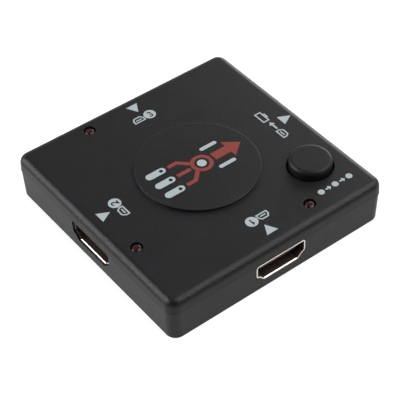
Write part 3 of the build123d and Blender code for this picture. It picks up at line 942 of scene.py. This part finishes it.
@dataclass
class Print:
    """One printed mark: outlines filled with ink that stands a little above the plastic.

    Attributes:
        name: Name of the piece.
        height: Height of the plastic that it lies on.
        ink: Its ink.
        thick: Thickness of the mark, which reaches into the plastic.
        proud: How far it stands above the plastic.
    """

    name: str
    height: float
    ink: Ink = LEGEND_INK
    thick: float = 0.03 * MM
    proud: float = 0.015 * MM

    def lay(self, wardrobe: Wardrobe, outlines: list[Outline]) -> None:
        """Fill the outlines, where one inside another is left bare, and fix the mark to the case.

        Args:
            wardrobe: The finishes.
            outlines: Closed outlines in the plane of the cover.
        """
        build = bmesh.new()
        top = self.height + self.proud
        for outline in outlines:
            corners = [build.verts.new((x, y, top)) for x, y in outline]
            for start, end in zip(corners, corners[1:] + corners[:1]):
                build.edges.new((start, end))
        bmesh.ops.triangle_fill(build, edges=build.edges[:], use_beauty=True, normal=(0, 0, 1))
        for face in build.faces:
            if face.normal.z < 0:
                face.normal_flip()
        bmesh.ops.solidify(build, geom=build.faces[:], thickness=self.thick)
        mark = as_object(build, self.name)
        wardrobe.dress(mark, self.ink.name)
        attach(mark, CASE_BODY)
        LOG.info("%s: %d faces", self.name, len(mark.data.polygons))


@dataclass
class PortMarks:
    """Marks beside one socket, drawn for the -Y wall and turned to the socket's own.

    Attributes:
        port: The socket.
        height: Height of the cover.
        line: Width of the thin lines.
        inward: Corners of the triangle beside an input.
        outward: Corners of the triangle beside the output.
        disc: Middle of the disc with an input's number.
        disc_radius: Radius of that disc.
        input_plug: Middle of the plug beside an input.
        row: Place along Y of the output's plug, arrow and screen.
        output_plug: Place along X of that plug.
        output_arrow: Start and end along X of that arrow.
        arrow_shaft: Width of the arrow's shaft.
        arrow_head: Length and width of the arrow's head.
        screen_place: Place along X of that screen.
        plug_half: Left half of the plug's outline, from its middle.
        tongue: Half the length of the plug's tongue, and its height above that middle.
        screen_half: Half the width of the screen. Its foot is as wide as that.
        screen_span: Levels of its lower and upper edge, from its middle.
    """

    port: Port
    height: float
    line: float = 0.38 * MM
    inward: Corners = ((-1.55 * MM, -28.3 * MM), (1.75 * MM, -28.3 * MM), (0.1 * MM, -25.2 * MM))
    outward: Corners = ((-1.4 * MM, -26.5 * MM), (0.3 * MM, -29.7 * MM), (1.95 * MM, -26.5 * MM))
    disc: Point = (-1.6 * MM, -22.7 * MM)
    disc_radius: float = 1.6 * MM
    input_plug: Point = (1.8 * MM, -22.7 * MM)
    row: float = -23.9 * MM
    output_plug: float = -3.6 * MM
    output_arrow: Point = (-1.5 * MM, 1.6 * MM)
    arrow_shaft: float = 0.5 * MM
    arrow_head: Point = (1.2 * MM, 1.7 * MM)
    screen_place: float = 4.2 * MM
    plug_half: Corners = ((-1.45 * MM, 0.85 * MM), (-1.45 * MM, -0.1 * MM), (-0.85 * MM, -0.85 * MM))
    tongue: Point = (0.85 * MM, 0.1 * MM)
    screen_half: float = 1.75 * MM
    screen_span: Point = (-0.45 * MM, 1.15 * MM)

    def build(self, wardrobe: Wardrobe) -> None:
        """Lay the marks of an input or of the output.

        Args:
            wardrobe: The finishes.
        """
        marks = self.output() if self.port is Port.OUTPUT else self.input()
        right, up = self.port.shift
        for name, outlines in marks.items():
            moved = [[(x + right, y + up) for x, y in outline] for outline in outlines]
            placed = [turned(outline, self.port.turn) for outline in moved]
            Print(f"{self.port.label}_{name}", self.height).lay(wardrobe, placed)

    def input(self) -> dict[str, list[Outline]]:
        """Triangle that points inward, number in a disc and a small picture of a plug.

        Returns:
            The outlines of each mark, by its name.
        """
        figure = stroke(self.digit(INPUTS.index(self.port) + 1), self.line)
        return {
            "triangle": [list(self.inward)],
            "number": [circle(self.disc, self.disc_radius), turned(figure, pi, self.disc)],
            "plug": self.plug(self.input_plug),
        }

    def output(self) -> dict[str, list[Outline]]:
        """Triangle that points outward, and a plug, an arrow and a screen in a row.

        Returns:
            The outlines of each mark, by its name.
        """
        return {
            "triangle": [list(self.outward)],
            "plug": self.plug((self.output_plug, self.row)),
            "arrow": [arrow(self.output_arrow, self.row, self.arrow_shaft, self.arrow_head)],
            "screen": self.screen((self.screen_place, self.row)),
        }

    @staticmethod
    def digit(number: int) -> Outline:
        """Centre line of a number, upright about the origin.

        Args:
            number: 1, 2 or 3.

        Returns:
            Points of the line, which are chosen in millimetres.
        """
        paths = {
            1: [(-0.38, 0.42), (0.08, 0.80), (0.08, -0.85)],
            2: arc((0, 0.34), 0.46, 170, -30) + [(-0.48, -0.78), (0.55, -0.78)],
            3: arc((0, 0.38), 0.42, 150, -75) + arc((0, -0.42), 0.46, 75, -150),
        }
        return [(x * MM, y * MM) for x, y in paths[number]]

    def plug(self, centre: Point) -> list[Outline]:
        """Mouth of a plug in outline, with its tongue.

        Args:
            centre: Its middle.

        Returns:
            Its outlines.
        """
        x, y = centre
        half, above = self.tongue
        left = [(x + aside, y + level) for aside, level in self.plug_half]
        right = [(x - aside, y + level) for aside, level in reversed(self.plug_half)]
        return loop(left + right, self.line) + [bar((x - half, x + half), y + above, self.line)]

    def screen(self, centre: Point) -> list[Outline]:
        """Screen in outline, on its foot.

        Args:
            centre: Its middle.

        Returns:
            Its outlines.
        """
        x, y = centre
        half, (low, high) = self.screen_half, self.screen_span
        frame = [(x - half, y + low), (x + half, y + low), (x + half, y + high), (x - half, y + high)]
        foot = bar((x - half / 2, x + half / 2), y + 2 * low, self.line)
        return loop(frame, self.line) + [foot]


@dataclass
class ButtonMarks:
    """Row of three dots and two arrows beside the button: it steps from one input to the next.

    Attributes:
        height: Height of the cover.
        centre: Middle of the row.
        step: Distance from dot to dot.
        dot: Radius of a dot.
        reach: Start and end of an arrow, from halfway between two dots.
        shaft: Width of an arrow's shaft.
        head: Length and width of its head.
    """

    height: float
    centre: Point = (21.85 * MM, -25.45 * MM)
    step: float = 4.4 * MM
    dot: float = 0.85 * MM
    reach: Point = (-0.8 * MM, 0.9 * MM)
    shaft: float = 0.45 * MM
    head: Point = (0.85 * MM, 1.5 * MM)

    def build(self, wardrobe: Wardrobe) -> None:
        """Lay the row.

        Args:
            wardrobe: The finishes.
        """
        x, y = self.centre
        dots = [circle((x + side * self.step, y), self.dot) for side in (-1, 0, 1)]
        halves = [x + side * self.step / 2 for side in (-1, 1)]
        ends = [(half + self.reach[0], half + self.reach[1]) for half in halves]
        arrows = [arrow(pair, y, self.shaft, self.head) for pair in ends]
        Print("select_dots", self.height).lay(wardrobe, dots)
        Print("select_arrows", self.height).lay(wardrobe, arrows)


@dataclass
class Emblem:
    """Diagram on the round panel: three sources run together into one arrow.

    Attributes:
        height: Height of the panel.
        middle: Place along Y of its middle line.
        spread: Distance from source to source.
        source_ends: Start and end of a source along X.
        source_width: Width of a source.
        hole: Place along X of the bare dot in a source.
        hole_radius: Radius of that dot.
        middle_track: Start and end of the middle track along X.
        outer_track: Places of the upper track along X and above the middle line.
        track_width: Width of a track.
        ring_place: Place along X of the ring that the tracks run into, and of its hub.
        ring_radii: Outer and inner radius of the ring.
        ring_steps: Straight steps of each.
        hub_radius: Radius of the hub.
        arrow_ends: Start and end of the arrow along X.
        arrow_shaft: Width of its shaft.
        arrow_head: Length and width of its head.
        strip_ends: Start and end of a strip along X.
        strip_width: Width of a strip.
    """

    height: float
    middle: float = -0.1 * MM
    spread: float = 3.9 * MM
    source_ends: Point = (-12.6 * MM, -7.0 * MM)
    source_width: float = 2.0 * MM
    hole: float = -8.2 * MM
    hole_radius: float = 0.5 * MM
    middle_track: Point = (-6.2 * MM, -2.2 * MM)
    outer_track: Corners = ((-6.2 * MM, 3.9 * MM), (-3.6 * MM, 3.9 * MM), (-1.2 * MM, 1.5 * MM))
    track_width: float = 1.1 * MM
    ring_place: float = 1.2 * MM
    ring_radii: Point = (2.9 * MM, 1.9 * MM)
    ring_steps: tuple[int, int] = (56, 48)
    hub_radius: float = 1.2 * MM
    arrow_ends: Point = (4.7 * MM, 13.2 * MM)
    arrow_shaft: float = 2.6 * MM
    arrow_head: Point = (3.9 * MM, 6.2 * MM)
    strip_ends: Point = (3.6 * MM, 8.6 * MM)
    strip_width: float = 1.1 * MM

    def build(self, wardrobe: Wardrobe) -> None:
        """Lay the pale and the red parts.

        Args:
            wardrobe: The finishes.
        """
        rows = [self.middle + side * self.spread for side in (-1, 0, 1)]
        bars = [bar(self.source_ends, y, self.source_width) for y in rows]
        holes = [circle((self.hole, y), self.hole_radius) for y in rows]
        strips = [bar(self.strip_ends, y, self.strip_width) for y in (rows[0], rows[-1])]
        centre = (self.ring_place, self.middle)
        hub = circle(centre, self.hub_radius)
        ring = [circle(centre, *size) for size in zip(self.ring_radii, self.ring_steps)]
        wide = arrow(self.arrow_ends, self.middle, self.arrow_shaft, self.arrow_head)
        pale = {"sources": bars + holes, "hub": [hub], "strips": strips}
        red = {"tracks": self.tracks(), "node": ring, "arrow": [wide]}
        for ink, marks in ((LEGEND_INK, pale), (EMBLEM_RED, red)):
            for name, outlines in marks.items():
                Print(f"emblem_{name}", self.height, ink).lay(wardrobe, outlines)

    def tracks(self) -> list[Outline]:
        """A red track from each source to the ring.

        Returns:
            Their outlines.
        """
        paths = [[(x, self.middle) for x in self.middle_track]]
        for side in (-1, 1):
            paths.append([(x, self.middle + side * up) for x, up in self.outer_track])
        return [stroke(path, self.track_width) for path in paths]


@dataclass
class Legend:
    """Everything printed on the upper shell, whose highest face is the round panel.

    Attributes:
        panel_rise: Height of the round panel above the cover.
    """

    panel_rise: float = 0.7 * MM

    def build(self, wardrobe: Wardrobe) -> None:
        """Lay all the marks.

        Args:
            wardrobe: The finishes.
        """
        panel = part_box("upper_shell")[1][2]
        cover = panel - self.panel_rise
        for port in Port:
            PortMarks(port, cover).build(wardrobe)
        ButtonMarks(cover).build(wardrobe)
        Emblem(panel).build(wardrobe)


@dataclass(frozen=True)
class Softbox:
    """Square soft lamp that points at the box.

    Attributes:
        name: Name of the lamp.
        place: Where it hangs.
        side: Side of its face.
        power: Its power in watts.
    """

    name: str
    place: Triple
    side: float
    power: float

    def hang(self) -> None:
        """Make the lamp."""
        data = bpy.data.lights.new(self.name, "AREA")
        data.shape = "SQUARE"
        data.size = self.side
        data.energy = self.power
        lamp = linked(data)
        lamp.location = self.place
        lamp.rotation_euler = Vector(self.place).to_track_quat("Z", "Y").to_euler()
        LOG.info("%s: %.1f W", self.name, self.power)


SOFTBOXES = (
    Softbox("left_softbox", (-0.64, 0.50, 0.42), side=0.74, power=9.2),
    Softbox("right_softbox", (0.47, -0.34, 0.72), side=0.98, power=10.0),
    Softbox("rear_softbox", (0.66, 0.40, 0.22), side=0.45, power=2.2),
)


@dataclass(frozen=True)
class Camera:
    """Camera with the photograph's place, turn, lens and framing.

    Attributes:
        focal_px: Focal length in pixels of the photograph.
        centre_px: Where the line of sight meets it, from its upper left corner.
        frame_px: Side of the photograph in pixels.
        sensor: Width of the sensor in millimetres.
        azimuth: Turn round the box, from in front of the -Y wall towards +X.
        elevation: Angle above the floor.
        roll: Turn about the line of sight.
        distance: Distance from the point that it aims at.
        aside: Shift of the camera to its right and upward.
        aim: Height of the point that it aims at, before that shift.
        nearest: Distance from which it sees.
    """

    focal_px: float = 1352.83
    centre_px: Point = (234.825, 217.220)
    frame_px: float = 400.0
    sensor: float = 36.0
    azimuth: float = radians(-38.1054)
    elevation: float = radians(45.3492)
    roll: float = radians(-0.7758)
    distance: float = 332.099 * MM
    aside: Point = (8.9297 * MM, -7.8075 * MM)
    aim: float = 6.2 * MM
    nearest: float = 10 * MM

    def place(self) -> None:
        """Set the camera up and make it the scene's."""
        back = Vector((
            sin(self.azimuth) * cos(self.elevation),
            -cos(self.azimuth) * cos(self.elevation),
            sin(self.elevation),
        ))
        level = Vector((cos(self.azimuth), sin(self.azimuth), 0))
        upward = back.cross(level)
        right = cos(self.roll) * level + sin(self.roll) * upward
        up = cos(self.roll) * upward - sin(self.roll) * level
        target = Vector((0, 0, self.aim)) + self.aside[0] * right + self.aside[1] * up
        data = bpy.data.cameras.new("camera")
        data.sensor_width = self.sensor
        data.lens = self.focal_px * self.sensor / self.frame_px
        data.shift_x = (self.frame_px / 2 - self.centre_px[0]) / self.frame_px
        data.shift_y = (self.centre_px[1] - self.frame_px / 2) / self.frame_px
        data.clip_start = self.nearest
        turn = Matrix((right, up, back)).transposed().to_4x4()
        camera = linked(data)
        camera.matrix_world = Matrix.Translation(target + self.distance * back) @ turn
        bpy.context.scene.camera = camera


@dataclass
class Studio:
    """White studio: camera, room light, floor and lamps.

    Attributes:
        ambient: Strength of the room light.
        bright_way: Direction in which reflections find the room brightest.
        reflected: Brightness in reflections, against that direction and along it.
        floor_radius: Radius of the floor.
        floor_sides: Sides of its outline.
        floor_gap: How far it lies under the box.
        floor_colour: Its colour under the lamps.
        floor_roughness: Its roughness.
        glow: Light of its own where reflections show it.
        camera_glow: What it adds to that for the camera.
    """

    ambient: float = 0.192
    bright_way: Triple = (0.25, 0.62, -0.74)
    reflected: Point = (0.0, 0.8)
    floor_radius: float = 1.6
    floor_sides: int = 96
    floor_gap: float = 0.02 * MM
    floor_colour: Colour = (0.45, 0.45, 0.45)
    floor_roughness: float = 0.9
    glow: float = 0.50
    camera_glow: float = 0.22

    def build(self) -> None:
        """Make the whole studio."""
        bpy.context.scene.view_settings.view_transform = "Standard"
        Camera().place()
        self.world()
        self.floor()
        for softbox in SOFTBOXES:
            softbox.hang()

    def world(self) -> None:
        """Soft room light, which is white to the camera, and bright from one side in reflections."""
        world = bpy.data.worlds.new("studio_world")
        bpy.context.scene.world = world
        world.use_nodes = True
        graph = Graph(world.node_tree)
        room = graph.node("Background", Color=WHITE, Strength=self.ambient)
        way = graph.node("TexCoord").outputs["Generated"]
        mirrored = graph.remap(graph.dot(way, self.bright_way), (-1, 1), self.reflected)
        strength = graph.math("MAXIMUM", graph.ray(Ray.CAMERA), mirrored)
        seen = graph.node("Background", Color=WHITE, Strength=strength)
        both = graph.mix(graph.shown(), room.outputs["Background"], seen.outputs["Background"])
        graph.node("OutputWorld", Surface=both)

    def floor(self) -> None:
        """Round white floor just under the box, which glows a little so that its shadow stays faint."""
        build = bmesh.new()
        size = {"segments": self.floor_sides, "radius": self.floor_radius}
        bmesh.ops.create_circle(build, cap_ends=True, **size)
        floor = as_object(build, "studio_floor")
        floor.location.z = -self.floor_gap
        graph = Surface("studio_floor")
        graph.set(Base_Color=self.floor_colour, Roughness=self.floor_roughness, Specular_IOR_Level=0.0)
        strength = graph.math("MULTIPLY_ADD", graph.ray(Ray.CAMERA), self.camera_glow, self.glow)
        plain = graph.shader.outputs["BSDF"]
        glow = graph.node("Emission", Strength=strength).outputs["Emission"]
        glowing = graph.node("AddShader", plain, glow).outputs["Shader"]
        graph.feed(graph.output, graph.mix(graph.shown(), plain, glowing))
        floor.data.materials.append(graph.material)


def main() -> None:
    """Build the whole scene."""
    logging.basicConfig(level=logging.INFO, format="%(name)s: %(message)s")
    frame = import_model()
    Studio().build()
    wardrobe = Wardrobe()
    wardrobe.dress_nodes(frame)
    SnapDome().build(wardrobe)
    Legend().build(wardrobe)


if __name__ == "__main__":
    main()
